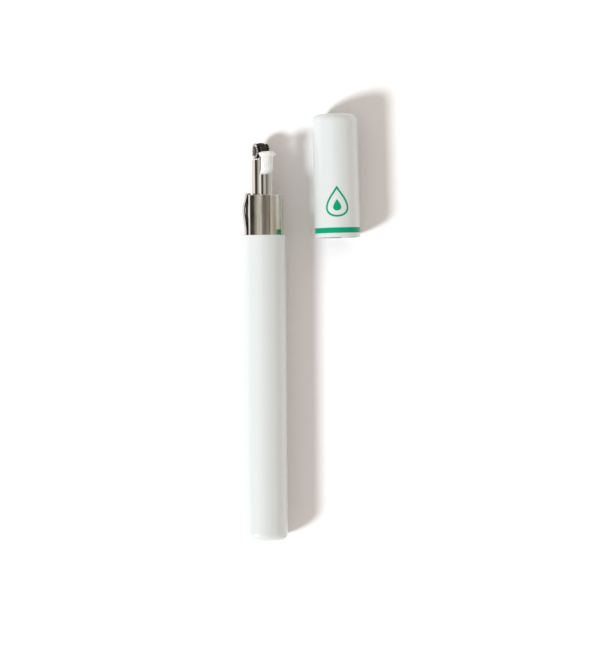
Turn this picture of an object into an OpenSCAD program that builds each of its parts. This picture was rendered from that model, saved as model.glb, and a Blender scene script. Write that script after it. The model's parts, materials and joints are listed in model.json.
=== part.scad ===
// Pen-shaped wick lighter with its cap off, lying on a table.
// The barrel lies along +Y with the centre of its closed end at the origin,
// and the cap lies beside it on the +X side. +Z is up.

/* [Barrel] */
// Outside diameter of the barrel and of the cap
barrel_d = 10.4; // [10:0.1:12]
// Length of the barrel, from its closed end to the shoulder that the cap meets
barrel_len = 70.1; // [60:0.1:90]
// Thickness of the closed ends
end_t = 0.8; // [0.6:0.1:1]
// Rounding of the outer edge at a closed end
end_round = 1.6; // [1.2:0.1:1.8]

/* [Cap] */
// Length of the cap
cap_len = 28.4; // [26:0.1:34]
// Distance from the barrel's axis to the cap's axis, at the cap's mouth
cap_offset = 17.2; // [12:0.1:30]
// How far the cap's mouth lies behind the shoulder
cap_setback = 0.7; // [0:0.1:10]
// Turn of the lying cap, its closed end towards the barrel
cap_turn = 1.1; // [0:0.1:5]

/* [Insert] */
// Diameter of the insert, which fits both barrel and cap
insert_d = 9.4; // [9.4:0.1:9.4]
// Height of the bright collar above the shoulder
collar_h = 9.2; // [8:0.1:11]
// Distance from the axis to the flat that the leaf spring lies on
flat_x = 3.65; // [3.5:0.05:3.8]
// Wall of the tank tube
tank_wall = 0.35; // [0.25:0.05:0.5]
// Width of the leaf spring
leaf_w = 3.2; // [2.6:0.1:3.2]
// Thickness of the leaf spring
leaf_t = 0.2; // [0.15:0.05:0.2]
// Turn of the flat and its leaf spring about the axis, upwards from the side
leaf_turn = 8; // [0:1:10]

/* [Wick] */
// Outside diameter of the wick tube
wick_tube_d = 3.3; // [3:0.1:3.3]
// Height of the wick tube's top above the shoulder
wick_tube_h = 13.9; // [12:0.1:15]
// Height of the wick's top above the shoulder
wick_h = 19.3; // [17:0.1:20]
// Sideways place of the wick
wick_x = 0.8; // [0.7:0.05:0.85]
// Height of the wick's centre above the barrel's axis
wick_z = 2.25; // [2.25:0.01:2.3]

/* [Striker] */
// Diameter of the round holder that carries the wheels
holder_d = 4.2; // [4:0.1:4.2]
// Sideways place of the holder
holder_x = -0.38; // [-0.42:0.01:-0.36]
// Height of the holder's centre above the barrel's axis
holder_z = -1.42; // [-1.45:0.01:-1.4]
// Height of the axle above the shoulder
axle_h = 19.35; // [18:0.05:20]
// Slope of the axle, whose left end is the higher one
axle_tilt = 26; // [18:1:30]
// Diameter of the spark wheel over its teeth
wheel_d = 3.8; // [3.6:0.1:3.9]
// Width of the spark wheel
wheel_w = 1.7; // [1.5:0.1:1.7]
// Diameter of the two thumb wheels over their teeth
thumb_d = 3.5; // [3.4:0.1:3.8]
// Width of each thumb wheel
thumb_w = 0.4; // [0.4:0.02:0.5]
// Number of teeth on a thumb wheel
thumb_teeth = 16; // [12:1:20]
// Number of ridges on the spark wheel
wheel_teeth = 26; // [20:1:30]

/* [Flint] */
// Diameter of the flint
flint_d = 2.4; // [2.2:0.1:2.4]
// Length of a new flint
flint_len = 5; // [4:0.5:6]
// Wire of the flint spring
spring_wire = 0.3; // [0.25:0.05:0.35]
// Number of turns in the flint spring
spring_turns = 32; // [24:1:36]

/* [Hidden] */
$fn = 96;

fit_gap = 0.05;         // insert to barrel and insert to cap, radial
run_gap = 0.03;         // axle in its ears and screw in its tube, radial
press_gap = 0.01;       // brazed and pressed pieces, radial
slack = 0.01;           // room kept where two pieces meet end to end
over = 1;               // how far a cutter runs past the face it cuts

barrel_r = barrel_d / 2;
insert_r = insert_d / 2;
bore_r = insert_r + fit_gap;
inner_round = 1;        // fillet inside a closed end
mouth_round = 0.12;     // rounding of an open rim, outside and inside

// Places along the lighter, measured from the closed end
collar_y = barrel_len + collar_h;
axle_y = barrel_len + axle_h;
tank_y = end_t + inner_round + slack; // just above the fillet in the barrel's closed end
joint_drop = 2;                       // the joint of head block and tank tube, below the shoulder
joint_y = barrel_len - joint_drop;
spigot_len = 3.5;                     // part of the head block inside the tank tube
tank_r = insert_r - tank_wall;        // inside radius of the tank

// Wick and wick tube
wick_tube_r = wick_tube_d / 2;
wick_tube_wall = 0.15;
wick_gap = 0.2;
wick_r = wick_tube_r - wick_tube_wall - wick_gap;
wick_flare = 0.35;
wick_flare_len = 1.6;
wick_top_len = 0.3;
wick_bottom_y = 20;

// Wheels, ears and axle, along the axle from its middle
wheel_r = wheel_d / 2;
thumb_r = thumb_d / 2;
side_gap = 0.05;
ear_t = 0.25;
ear_r = 1.15;
ear_base = 1.7;         // half width of an ear where it stands on the holder
ear_base_top = -1.5;    // an ear tapers between these two heights, measured from the axle
ear_neck = -0.3;
ear_inner = wheel_w / 2 + side_gap;
thumb_inner = ear_inner + ear_t + side_gap;
thumb_outer = thumb_inner + thumb_w;
axle_r = 0.5;
axle_head_r = 0.72;
axle_head_t = 0.14;
spark_tooth = 0.14;
thumb_tooth = 0.24;
tooth_rise = 0.35;      // share of a tooth's step taken by one flank
tooth_crest = 0.25;     // share taken by its flat crest

// Holder and flint tube
holder_r = holder_d / 2;
holder_rise = 6;
holder_y = joint_y + holder_rise;            // lower end of the holder, inside the head block
shelf_gap = 0.08;
shelf_y = axle_y - wheel_r - shelf_gap;      // shelf that the ears stand on
flint_tube_r = 1.6;
flint_bore_r = 1.3;
flint_tube_y = 3.2;
flint_tube_lap = 5;                          // length of the flint tube inside the holder
flint_tube_top_y = holder_y + flint_tube_lap;

// Flint, plunger, spring and screw
flint_r = flint_d / 2;
flint_top_y = axle_y - wheel_r - run_gap;
flint_y = flint_top_y - flint_len;
bore_rise = 0.1;                             // how far the flint's bore runs past its top
plunger_head = 1.2;
plunger_stem = 12;
plunger_stem_r = 0.6;
plunger_y = flint_y - slack - plunger_head;  // underside of the plunger's head
spring_r = 0.95;                             // radius of the coil at the wire's centre
screw_head_r = 2.1;
screw_head_t = 1;
screw_y = flint_tube_y - slack - screw_head_t;
screw_len = 6;
screw_top_y = flint_tube_y + screw_len;
screw_slot = 0.5;

// Wadding and felt in the tank
wadding_y = 7.4;
wadding_gap = 0.15;
wadding_r = tank_r - wadding_gap;
wadding_top_y = joint_y - spigot_len - 0.5;
wadding_hole_gap = 0.2;
felt_y = 3.9;
felt_t = 3;
felt_gap = 0.1;
felt_r = tank_r - felt_gap;

// Leaf spring, as distances from the axis to its outer face
leaf_top_x = flat_x + 0.28;
leaf_low_x = flat_x + 0.41;
leaf_peak_x = 4.52;
leaf_peak_y = barrel_len + 5.9;
leaf_foot_y = barrel_len + 1;       // where the bow ends, just above the shoulder
leaf_end_y = barrel_len - 1.2;
hook_y = collar_y + 0.4;            // top of the bent end
hook_x = 2.9;                       // distance from the axis to the hook's inner face
hook_len = 0.95;
hook_slot = 0.36;
hook_side_gap = 0.15;
bend_out = 0.25;                    // corner cut of a bend, on its outside
bend_in = 0.12;                     // and on its inside
flat_y = joint_y + 0.4;             // lower end of the flat
leaf_steps = 16;

// One module turns what is drawn upwards into what points along the lighter
module along_y(x, y, z) translate([x, y, z]) rotate([-90, 0, 0]) children();

// Local frame of the axle: X towards the wick, Y along the lighter, Z along the axle
module on_axle() translate([holder_x, axle_y, holder_z]) rotate([0, axle_tilt - 90, 0]) children();

// What is drawn on the -X side turns with the flat
module on_flat() rotate([0, leaf_turn, 0]) children();

module rod(r, y0, y1, x = 0, z = 0) along_y(x, y0, z) cylinder(r = r, h = y1 - y0);

module pipe(r, inner, y0, y1, x = 0, z = 0) {
    difference() {
        rod(r, y0, y1, x, z);
        rod(inner, y0 - over, y1 + over, x, z);
    }
}

// Closed tube, drawn upwards from its closed end
module drawn_tube(length) {
    rotate_extrude()
        difference() {
            union() {
                square([barrel_r - end_round, end_round]);
                translate([barrel_r - end_round, end_round]) circle(end_round);
                translate([0, end_round]) square([barrel_r, length - end_round - mouth_round]);
                translate([0, length - mouth_round]) square([barrel_r - mouth_round, mouth_round]);
                translate([barrel_r - mouth_round, length - mouth_round]) circle(mouth_round);
            }
            translate([0, end_t + inner_round]) square([bore_r, length]);
            translate([0, end_t]) square([bore_r - inner_round, inner_round]);
            translate([bore_r - inner_round, end_t + inner_round]) circle(inner_round);
            translate([-barrel_r, 0]) square([barrel_r, length]);
        }
}

module barrel_shell() {
    color("white") along_y(0, 0, 0) drawn_tube(barrel_len);
}

module cap_shell() {
    color("white")
        translate([cap_offset, barrel_len - cap_setback, 0])
            rotate([0, 0, cap_turn])
                translate([0, cap_len, 0])
                    rotate([90, 0, 0]) drawn_tube(cap_len);
}

module tank_tube() {
    color("silver") pipe(insert_r, tank_r, tank_y, joint_y - slack);
}

// Turned block that closes the tank and carries both tubes
module head_block() {
    color("lightgrey")
        difference() {
            union() {
                rod(insert_r, joint_y, collar_y);
                rod(tank_r - press_gap, joint_y - spigot_len, joint_y);
            }
            rod(wick_tube_r + press_gap, joint_y - spigot_len - over, collar_y + over, wick_x, wick_z);
            rod(holder_r + press_gap, holder_y, collar_y + over, holder_x, holder_z);
            rod(flint_tube_r + press_gap, joint_y - spigot_len - over, holder_y + over, holder_x, holder_z);
            on_flat() {
                translate([-insert_r - over, flat_y, -insert_r])
                    cube([insert_r + over - flat_x, collar_y + over - flat_y, insert_d]);
                translate([-hook_x - leaf_t / 2, collar_y - hook_len / 2 + over / 2, 0])
                    cube([hook_slot, hook_len + over, leaf_w + 2 * hook_side_gap], center = true);
            }
        }
}

module wick_tube() {
    color("silver")
        pipe(wick_tube_r, wick_tube_r - wick_tube_wall, joint_y - spigot_len,
             barrel_len + wick_tube_h, wick_x, wick_z);
}

module flint_tube() {
    color("silver")
        pipe(flint_tube_r, flint_bore_r, flint_tube_y, flint_tube_top_y, holder_x, holder_z);
}

// Outline of one ear, in the axle's local frame
module ear_outline() {
    foot = shelf_y - axle_y;
    circle(ear_r);
    polygon([[-ear_base, foot], [ear_base, foot], [ear_base, ear_base_top], [ear_r, ear_neck],
             [-ear_r, ear_neck], [-ear_base, ear_base_top]]);
}

module wheel_holder() {
    color("silver")
        difference() {
            union() {
                rod(holder_r, holder_y, shelf_y, holder_x, holder_z);
                intersection() {
                    rod(holder_r, shelf_y, axle_y + holder_r, holder_x, holder_z);
                    on_axle()
                        for (side = [-1, 1])
                            translate([0, 0, side * (ear_inner + ear_t / 2)])
                                linear_extrude(ear_t, center = true) ear_outline();
                }
            }
            rod(flint_bore_r, holder_y, flint_top_y + bore_rise, holder_x, holder_z);
            rod(flint_tube_r + press_gap, holder_y - over, flint_tube_top_y, holder_x, holder_z);
            on_axle() cylinder(r = axle_r + run_gap, h = 2 * thumb_outer, center = true);
        }
}

module fuel_wadding() {
    color("ivory")
        difference() {
            rod(wadding_r, wadding_y, wadding_top_y);
            rod(flint_tube_r + wadding_hole_gap, wadding_y - over, joint_y, holder_x, holder_z);
            rod(wick_r + wadding_hole_gap, wadding_y - over, joint_y, wick_x, wick_z);
        }
}

module felt_pad() {
    color("gainsboro")
        difference() {
            rod(felt_r, felt_y, felt_y + felt_t);
            rod(flint_tube_r + felt_gap, felt_y - over, felt_y + felt_t + over, holder_x, holder_z);
        }
}

// Distance from the axis to the bowed strip's outer face: half a wave up and half a wave down
function ease(t) = (1 - cos(180 * t)) / 2;
function leaf_x(y) = y > leaf_peak_y
    ? leaf_top_x + (leaf_peak_x - leaf_top_x) * ease((collar_y - y) / (collar_y - leaf_peak_y))
    : leaf_low_x + (leaf_peak_x - leaf_low_x) * ease((y - leaf_foot_y) / (leaf_peak_y - leaf_foot_y));

// The strip bows out from the flat, and its upper end is bent over the head block's rim
module leaf_spring() {
    span = collar_y - leaf_foot_y;
    bow = [for (i = [0:leaf_steps]) leaf_foot_y + span * i / leaf_steps];
    outer = concat([[-leaf_low_x, leaf_end_y]], [for (y = bow) [-leaf_x(y), y]],
                   [[-leaf_top_x, hook_y - bend_out], [-leaf_top_x + bend_out, hook_y],
                    [-hook_x - bend_out, hook_y], [-hook_x, hook_y - bend_out],
                    [-hook_x, hook_y - hook_len]]);
    inner = concat([[-hook_x - leaf_t, hook_y - hook_len], [-hook_x - leaf_t, hook_y - leaf_t - bend_in],
                    [-hook_x - leaf_t - bend_in, hook_y - leaf_t],
                    [-leaf_top_x + leaf_t + bend_in, hook_y - leaf_t],
                    [-leaf_top_x + leaf_t, hook_y - leaf_t - bend_in]],
                   [for (i = [leaf_steps:-1:0]) [leaf_t - leaf_x(bow[i]), bow[i]]],
                   [[leaf_t - leaf_low_x, leaf_end_y]]);
    color("silver")
        on_flat() linear_extrude(leaf_w, center = true) polygon(concat(outer, inner));
}

module wick() {
    top = barrel_len + wick_h;
    color("white")
        along_y(wick_x, 0, wick_z)
            rotate_extrude()
                polygon([[0, wick_bottom_y], [wick_r, wick_bottom_y], [wick_r, top - wick_flare_len],
                         [wick_r + wick_flare, top - wick_top_len], [wick_r, top], [0, top]]);
}

// Ridged disc about Z: straight-sided teeth between a root and a tip radius
module ridged_disc(tip, depth, teeth, width) {
    step = 360 / teeth;
    crest_end = tooth_rise + tooth_crest;
    flank = [[0, -depth], [tooth_rise, 0], [crest_end, 0], [crest_end + tooth_rise, -depth]];
    linear_extrude(width, center = true)
        difference() {
            polygon([for (i = [0:teeth - 1], f = flank)
                     let (a = (i + f[0]) * step, r = tip + f[1]) [r * cos(a), r * sin(a)]]);
            circle(axle_r + press_gap);
        }
}

module spark_wheel() {
    color("dimgrey") on_axle() ridged_disc(wheel_r, spark_tooth, wheel_teeth, wheel_w);
}

module thumb_wheel(side) {
    color("grey")
        on_axle()
            translate([0, 0, side * (thumb_inner + thumb_w / 2)])
                ridged_disc(thumb_r, thumb_tooth, thumb_teeth, thumb_w);
}

module thumb_wheel_left() thumb_wheel(1);

module thumb_wheel_right() thumb_wheel(-1);

// The axle turns with the wheels, and its ends are headed over the thumb wheels
module wheel_axle() {
    color("lightgrey")
        on_axle() {
            cylinder(r = axle_r, h = 2 * thumb_outer, center = true);
            for (side = [-1, 1])
                translate([0, 0, side * (thumb_outer + slack + axle_head_t / 2)])
                    cylinder(r = axle_head_r, h = axle_head_t + 2 * slack, center = true);
        }
}

module flint() {
    color("dimgrey") rod(flint_r, flint_y, flint_top_y, holder_x, holder_z);
}

module flint_plunger() {
    color("goldenrod") {
        rod(flint_bore_r - run_gap, plunger_y, flint_y - slack, holder_x, holder_z);
        rod(plunger_stem_r, plunger_y - plunger_stem, plunger_y, holder_x, holder_z);
    }
}

// Coil spring between the screw and the plunger: a wire swept along a helix
module flint_spring() {
    turn_steps = 10;
    sides = 6;
    low = screw_top_y + spring_wire / 2 + slack;
    high = plunger_y - spring_wire / 2 - slack;
    rings = spring_turns * turn_steps;
    wire_r = spring_wire / 2;
    points = [for (i = [0:rings], s = [0:sides - 1])
              let (turn = 360 * i / turn_steps, around = 360 * s / sides,
                   reach = spring_r + wire_r * cos(around))
              [reach * cos(turn), reach * sin(turn),
               low + (high - low) * i / rings + wire_r * sin(around)]];
    walls = [for (i = [0:rings - 1], s = [0:sides - 1])
             let (next = (s + 1) % sides, a = i * sides, b = a + sides)
             each [[a + s, b + s, b + next], [a + s, b + next, a + next]]];
    caps = [[for (s = [0:sides - 1]) s], [for (s = [sides - 1:-1:0]) rings * sides + s]];
    color("silver")
        along_y(holder_x, 0, holder_z) polyhedron(points, concat(walls, caps), convexity = 10);
}

module flint_screw() {
    color("goldenrod")
        difference() {
            union() {
                rod(screw_head_r, screw_y, screw_y + screw_head_t, holder_x, holder_z);
                rod(flint_bore_r - run_gap, screw_y, screw_top_y, holder_x, holder_z);
            }
            translate([holder_x - screw_head_r - over, screw_y - over, holder_z - screw_slot / 2])
                cube([2 * (screw_head_r + over), over + screw_slot, screw_slot]);
        }
}

barrel_shell();
tank_tube();
head_block();
wick_tube();
flint_tube();
wheel_holder();
fuel_wadding();
felt_pad();
leaf_spring();
wick();
spark_wheel();
thumb_wheel_left();
thumb_wheel_right();
wheel_axle();
flint();
flint_plunger();
flint_spring();
flint_screw();
cap_shell();
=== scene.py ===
"""A pen-shaped wick lighter with its cap off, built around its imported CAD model.

The barrel lies along +Y with its closed end at the origin, the cap lies beside it on +X, and +Z is up.
Outlines are drawn in millimetres, as distance from an axis and place along it, and turned into metres
when a piece is made.
"""
import json
import random
from functools import partial
from math import atan2, ceil, cos, degrees, exp, floor, hypot, pi, radians, remainder, sin, sqrt, tan, tau

import bmesh
import bpy
from mathutils import Matrix, Vector, noise


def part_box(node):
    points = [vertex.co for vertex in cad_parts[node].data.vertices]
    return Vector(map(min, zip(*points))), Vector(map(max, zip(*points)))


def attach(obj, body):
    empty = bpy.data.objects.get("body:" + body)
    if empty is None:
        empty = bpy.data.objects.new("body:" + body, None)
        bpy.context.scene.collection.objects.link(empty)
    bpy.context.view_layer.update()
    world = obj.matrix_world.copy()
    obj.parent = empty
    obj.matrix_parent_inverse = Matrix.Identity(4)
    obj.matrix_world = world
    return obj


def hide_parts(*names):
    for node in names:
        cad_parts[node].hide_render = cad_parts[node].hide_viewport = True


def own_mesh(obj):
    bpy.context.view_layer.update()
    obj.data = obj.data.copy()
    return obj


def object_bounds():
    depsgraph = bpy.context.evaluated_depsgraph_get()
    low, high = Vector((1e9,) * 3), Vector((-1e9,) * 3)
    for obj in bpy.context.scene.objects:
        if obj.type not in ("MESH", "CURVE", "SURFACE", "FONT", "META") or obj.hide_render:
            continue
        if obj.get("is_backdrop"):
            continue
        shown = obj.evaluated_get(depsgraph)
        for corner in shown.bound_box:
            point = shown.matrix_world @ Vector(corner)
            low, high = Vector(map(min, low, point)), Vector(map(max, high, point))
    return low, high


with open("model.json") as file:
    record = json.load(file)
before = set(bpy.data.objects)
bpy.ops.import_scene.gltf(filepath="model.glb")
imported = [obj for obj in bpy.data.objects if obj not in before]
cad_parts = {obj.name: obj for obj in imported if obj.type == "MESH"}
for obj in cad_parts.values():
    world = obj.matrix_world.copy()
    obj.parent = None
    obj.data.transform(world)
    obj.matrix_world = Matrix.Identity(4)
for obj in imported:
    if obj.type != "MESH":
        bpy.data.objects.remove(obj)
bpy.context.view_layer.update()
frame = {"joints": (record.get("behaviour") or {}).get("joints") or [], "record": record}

MM = 0.001
ROUND = 192            # segments round a barrel or a collar
FINE = 96              # segments round a small tube
RNG = random.Random(11)

# --- places and sizes from the frame
joints = {joint["name"]: joint for joint in frame["joints"]}
mounts = {mount["name"]: mount for mount in frame["record"]["mounts"]}


def reach(node):
    """A CAD node's lowest and highest corners, in millimetres."""
    low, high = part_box(node)
    return low / MM, high / MM


def middle(node):
    """The centre of a CAD node's box across the lighter, in millimetres."""
    low, high = reach(node)
    return Vector(((low.x + high.x) / 2, 0, (low.z + high.z) / 2))


def frame_of(origin, y, z):
    """Place of a drawing whose Y and Z axes lie along two directions."""
    return Matrix.Translation(origin) @ Matrix((y.cross(z), y, z)).transposed().to_4x4()


barrel_low, barrel_high = reach("barrel_shell")
BARREL_R = (barrel_high.x - barrel_low.x) / 2
SHOULDER = barrel_high.y
BORE_R = mounts["cap_mouth"]["dims"]["r_mm"]
CAP_BORE = mounts["cap_mouth"]["dims"]["length_mm"]
collar_low, collar_high = reach("head_block")
COLLAR_R = collar_high.x
COLLAR_TOP = collar_high.y
HOLDER = middle("flint_tube")
WICK = middle("wick_tube")
HOLDER_PLACE = Matrix.Translation(HOLDER)
WICK_PLACE = Matrix.Translation(WICK)
AXLE_Y = joints["wheel_spin"]["pos_m"][1] / MM
AXLE_DIR = Vector(joints["wheel_spin"]["axis"])

END_T = 0.8            # closed ends
END_ROUND = 1.6
INNER_ROUND = 1.0
MOUTH_ROUND = 0.12
GUARD = 0.12           # holding ring beside a rounded corner, which keeps long faces flat

# The cap's own frame has its origin at the middle of the mouth and +Y to the closed end
CAP_LEN = CAP_BORE + INNER_ROUND + END_T
cap_axis = -Vector(mounts["cap_mouth"]["axis"]).normalized()
cap_mouth = Vector(mounts["cap_mouth"]["pos_m"]) / MM - cap_axis * (CAP_BORE / 2)
CAP_PLACE = frame_of(cap_mouth, cap_axis, Vector((0, 0, 1)))

# The axle's own frame has X towards the wick, Y along the lighter and Z along the axle
UP = Vector((0, 1, 0))
AXLE_PLACE = frame_of((HOLDER.x, AXLE_Y, HOLDER.z), UP, AXLE_DIR)
WHEEL_PLACE = AXLE_PLACE @ Matrix.Rotation(radians(90), 4, "X")    # a drawing's +Y lies along the axle


# --- drawing
def rounded(corners, steps=5, guard=GUARD):
    """Points (radius, height, wear) of a closed outline, given as corners (radius, height, rounding).

    Each corner becomes an arc with a holding point on either side. Wear is 1 on an arc and 0 elsewhere.
    """
    arc_share, hold_share = 0.48, 0.49     # how much of a side an arc and its holding point may take
    points = []
    count = len(corners)
    for i, (x, y, bend) in enumerate(corners):
        here = Vector((x, y))
        before = Vector(corners[i - 1][:2]) - here
        after = Vector(corners[(i + 1) % count][:2]) - here
        if bend <= 0:
            points.append((x, y, 0.0))
            continue
        half = before.angle(after) / 2
        cut = min(bend / tan(half), arc_share * before.length, arc_share * after.length)
        radius = cut * tan(half)
        inwards = (before.normalized() + after.normalized()).normalized()
        centre = here + inwards * (radius / sin(half))
        ends = [here + side.normalized() * cut - centre for side in (before, after)]
        first, last = [atan2(end.y, end.x) for end in ends]
        sweep = remainder(last - first, tau)
        arc = [(centre.x + radius * cos(a), centre.y + radius * sin(a), 1.0)
               for a in (first + sweep * k / steps for k in range(steps + 1))]
        holds = [here + side.normalized() * min(cut + guard, (cut + hold_share * side.length) / 2)
                 for side in (before, after)]
        points += [(*holds[0], 0.0), *arc, (*holds[1], 0.0)]
    return points


def dense(points, step):
    """The same outline with points added so that none of its sides is longer than a step."""
    result = []
    for (x0, y0, w0), (x1, y1, w1) in zip(points, points[1:] + points[:1]):
        parts = max(1, ceil(hypot(x1 - x0, y1 - y0) / step)) if x0 + x1 > 0 else 1
        for k in range(parts):
            t = k / parts
            result.append((x0 + (x1 - x0) * t, y0 + (y1 - y0) * t, w0 + (w1 - w0) * t))
    return result


def blank():
    """An empty bmesh and its wear layer, which the materials read."""
    bm = bmesh.new()
    return bm, bm.verts.layers.float.new("wear")


def ring_point(radius, angle, height=0.0):
    """A point round the Y axis."""
    return Vector((radius * sin(angle), height, radius * cos(angle)))


def lathe(points, segments=FINE, shape=None):
    """Turns a closed outline about the Y axis.

    shape(radius, angle, height, wear) may give each point another radius and wear.
    """
    bm, wear = blank()
    rings = []
    for radius, height, worn in points:
        ring = []
        for k in range(1 if radius < 1e-6 else segments):
            a = tau * k / segments
            r, w = shape(radius, a, height, worn) if shape and radius > 1e-6 else (radius, worn)
            vert = bm.verts.new(ring_point(r, a, height))
            vert[wear] = w
            ring.append(vert)
        rings.append(ring)
    for one, two in zip(rings, rings[1:] + rings[:1]):
        if len(one) == 1 and len(two) == 1:
            continue
        for k in range(segments):
            n = (k + 1) % segments
            corners = [one[k % len(one)], one[n % len(one)], two[n % len(two)], two[k % len(two)]]
            bm.faces.new(list(dict.fromkeys(corners)))
    bmesh.ops.recalc_face_normals(bm, faces=bm.faces)
    return bm


def rod(radius, low, high, low_bend=0, high_bend=0):
    """Corners of a plain cylinder about the Y axis."""
    return [(0, low, 0), (radius, low, low_bend), (radius, high, high_bend), (0, high, 0)]


def pipe(inner, outer, node, bends):
    """Corners of a plain tube as long as its CAD node. bends go round from its lower inner corner."""
    low, high = reach(node)
    corners = [(inner, low.y), (outer, low.y), (outer, high.y), (inner, high.y)]
    return [(*corner, bend) for corner, bend in zip(corners, bends)]


def skin(bm, rings, closed=False, ends=False):
    """Joins rings of equally many points with faces. closed joins the last to the first.

    ends fills the first and the last.
    """
    if ends:
        bm.faces.new(rings[0])
        bm.faces.new(rings[-1])
    for one, two in zip(rings, rings[1:] + (rings[:1] if closed else [])):
        for k in range(len(one)):
            n = (k + 1) % len(one)
            bm.faces.new([one[k], one[n], two[n], two[k]])


def prism(outline, low, high):
    """A flat outline of (x, y) points, raised along Z."""
    bm = blank()[0]
    skin(bm, [[bm.verts.new((x, y, z)) for x, y in outline] for z in (low, high)], ends=True)
    bmesh.ops.recalc_face_normals(bm, faces=bm.faces)
    return bm


def block(low, high):
    """A box between two corners."""
    (x0, y0, z0), (x1, y1, z1) = low, high
    return prism([(x0, y0), (x1, y0), (x1, y1), (x0, y1)], z0, z1)


def placed(bm, place):
    """The same bmesh, moved. A reflection turns its faces inside out, so they are turned back."""
    bm.transform(place)
    if place.determinant() < 0:
        bmesh.ops.reverse_faces(bm, faces=bm.faces)
    return bm


def new_object(name, data):
    """An object of the scene."""
    made = bpy.data.objects.new(name, data)
    bpy.context.scene.collection.objects.link(made)
    return made


def mesh_object(name, bm):
    """An object made of a bmesh, which is used up."""
    mesh = bpy.data.meshes.new(name)
    bm.to_mesh(mesh)
    bm.free()
    return new_object(name, mesh)


def carved(bm, join=(), cut=(), within=()):
    """A solid with others joined to it and cut out of it, or only what it shares with others."""
    solid = mesh_object("scratch", bm)
    tools = []
    for operation, solids in (("UNION", join), ("DIFFERENCE", cut), ("INTERSECT", within)):
        for tool_bm in solids:
            tools.append(mesh_object("scratch", tool_bm))
            modifier = solid.modifiers.new("step", "BOOLEAN")
            modifier.operation = operation
            modifier.object = tools[-1]
            modifier.solver = "EXACT"
    bpy.context.view_layer.update()
    mesh = bpy.data.meshes.new_from_object(solid.evaluated_get(bpy.context.evaluated_depsgraph_get()))
    result = bmesh.new()
    result.from_mesh(mesh)
    for obj in [solid] + tools:
        old = obj.data
        bpy.data.objects.remove(obj)
        bpy.data.meshes.remove(old)
    bpy.data.meshes.remove(mesh)
    bmesh.ops.remove_doubles(result, verts=result.verts, dist=1e-4)
    return result


def edged(bm, width, angle=40):
    """Breaks the sharp edges with a narrow bevel, and marks it as worn."""
    wear = bm.verts.layers.float.get("wear") or bm.verts.layers.float.new("wear")
    sharp = [e for e in bm.edges if len(e.link_faces) == 2 and e.calc_face_angle() > radians(angle)]
    made = bmesh.ops.bevel(bm, geom=sharp, offset=width, segments=2, profile=0.5, affect="EDGES",
                           clamp_overlap=True)
    for vert in made["verts"]:
        vert[wear] = 1.0
    return bm


def zigzag(x):
    """1 at each whole number and 0 halfway between, with straight flanks."""
    return abs(2 * (x - floor(x)) - 1)


def fuzzed(bm, depth, size, seed):
    """Moves each point along its normal by noise of that depth and size, in millimetres."""
    bm.normal_update()
    shift = Vector((seed * 7.3, seed * 3.1, seed * 5.7))
    moves = [v.normal * depth * noise.fractal(v.co / size + shift, 0.6, 2.1, 4) for v in bm.verts]
    for vert, move in zip(bm.verts, moves):
        vert.co += move
    return bm


def piece(name, bm, materials, body, slot, *nodes, place=None, sharp=38, pick=None):
    """Makes a shaded piece of a bmesh drawn in millimetres. pick(face) chooses among the materials."""
    if pick:
        bmesh.ops.recalc_face_normals(bm, faces=bm.faces)
        for face in bm.faces:
            face.material_index = pick(face)
    if place:
        bm.transform(place)
    bm.transform(Matrix.Scale(MM, 4))
    bmesh.ops.recalc_face_normals(bm, faces=bm.faces)
    for face in bm.faces:
        face.smooth = True
    for edge in bm.edges:
        if len(edge.link_faces) == 2 and edge.calc_face_angle() > radians(sharp):
            edge.smooth = False
    obj = mesh_object(name, bm)
    for material in materials if isinstance(materials, list) else [materials]:
        obj.data.materials.append(material)
    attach(obj, body)
    if nodes:
        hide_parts(*nodes)
    return obj


# --- materials
def add_node(tree, kind, inputs, **settings):
    """A shader node with its settings, and with values or links on its inputs."""
    made = tree.nodes.new("ShaderNode" + kind)
    for key, value in settings.items():
        setattr(made, key, value)
    for key, value in inputs.items():
        if isinstance(value, bpy.types.NodeSocket):
            tree.links.new(value, made.inputs[key])
        else:
            made.inputs[key].default_value = value
    return made


class Paint:
    """One material: a Principled shader and short ways to add nodes before it."""

    def __init__(self, name, values):
        self.material = bpy.data.materials.new(name)
        self.material.use_nodes = True
        self.tree = self.material.node_tree
        self.shader = self.tree.nodes["Principled BSDF"]
        for socket, value in values.items():
            self.shader.inputs[socket].default_value = value
        self.coords = self.node("TexCoord", {}, "Object")

    def node(self, kind, inputs, output=0, **settings):
        return add_node(self.tree, kind, inputs, **settings).outputs[output]

    def grain(self, per_mm, detail=3.0, roughness=0.55):
        """Noise from 0 to 1. per_mm is its waves in a millimetre, one number or one for each axis."""
        waves = per_mm if isinstance(per_mm, tuple) else (per_mm,) * 3
        scaled = self.node("Mapping", {"Vector": self.coords, "Scale": [v / MM for v in waves]})
        return self.node("TexNoise", {"Vector": scaled, "Scale": 1.0, "Detail": detail,
                                      "Roughness": roughness})

    def between(self, value, low, high, out_low=0.0, out_high=1.0):
        return self.node("MapRange", {0: value, 1: low, 2: high, 3: out_low, 4: out_high},
                         interpolation_type="SMOOTHSTEP")

    def times(self, a, b):
        return self.node("Math", {0: a, 1: b}, operation="MULTIPLY")

    def plus(self, a, b):
        return self.node("Math", {0: a, 1: b}, operation="ADD")

    def mix(self, factor, a, b):
        return self.node("Mix", {0: factor, 6: colour(a), 7: colour(b)}, 2, data_type="RGBA")

    def wear(self):
        return self.node("Attribute", {}, "Fac", attribute_name="wear")

    def bump(self, height, depth_mm, normal=None):
        inputs = {"Height": height, "Distance": depth_mm * MM}
        if normal:
            inputs["Normal"] = normal
        return self.node("Bump", inputs)

    def use(self, *sockets):
        """Links the colour, the roughness and the normal, and gives the finished material."""
        for key, socket in zip(("Base Color", "Roughness", "Normal"), sockets):
            self.tree.links.new(socket, self.shader.inputs[key])
        return self.material


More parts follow.
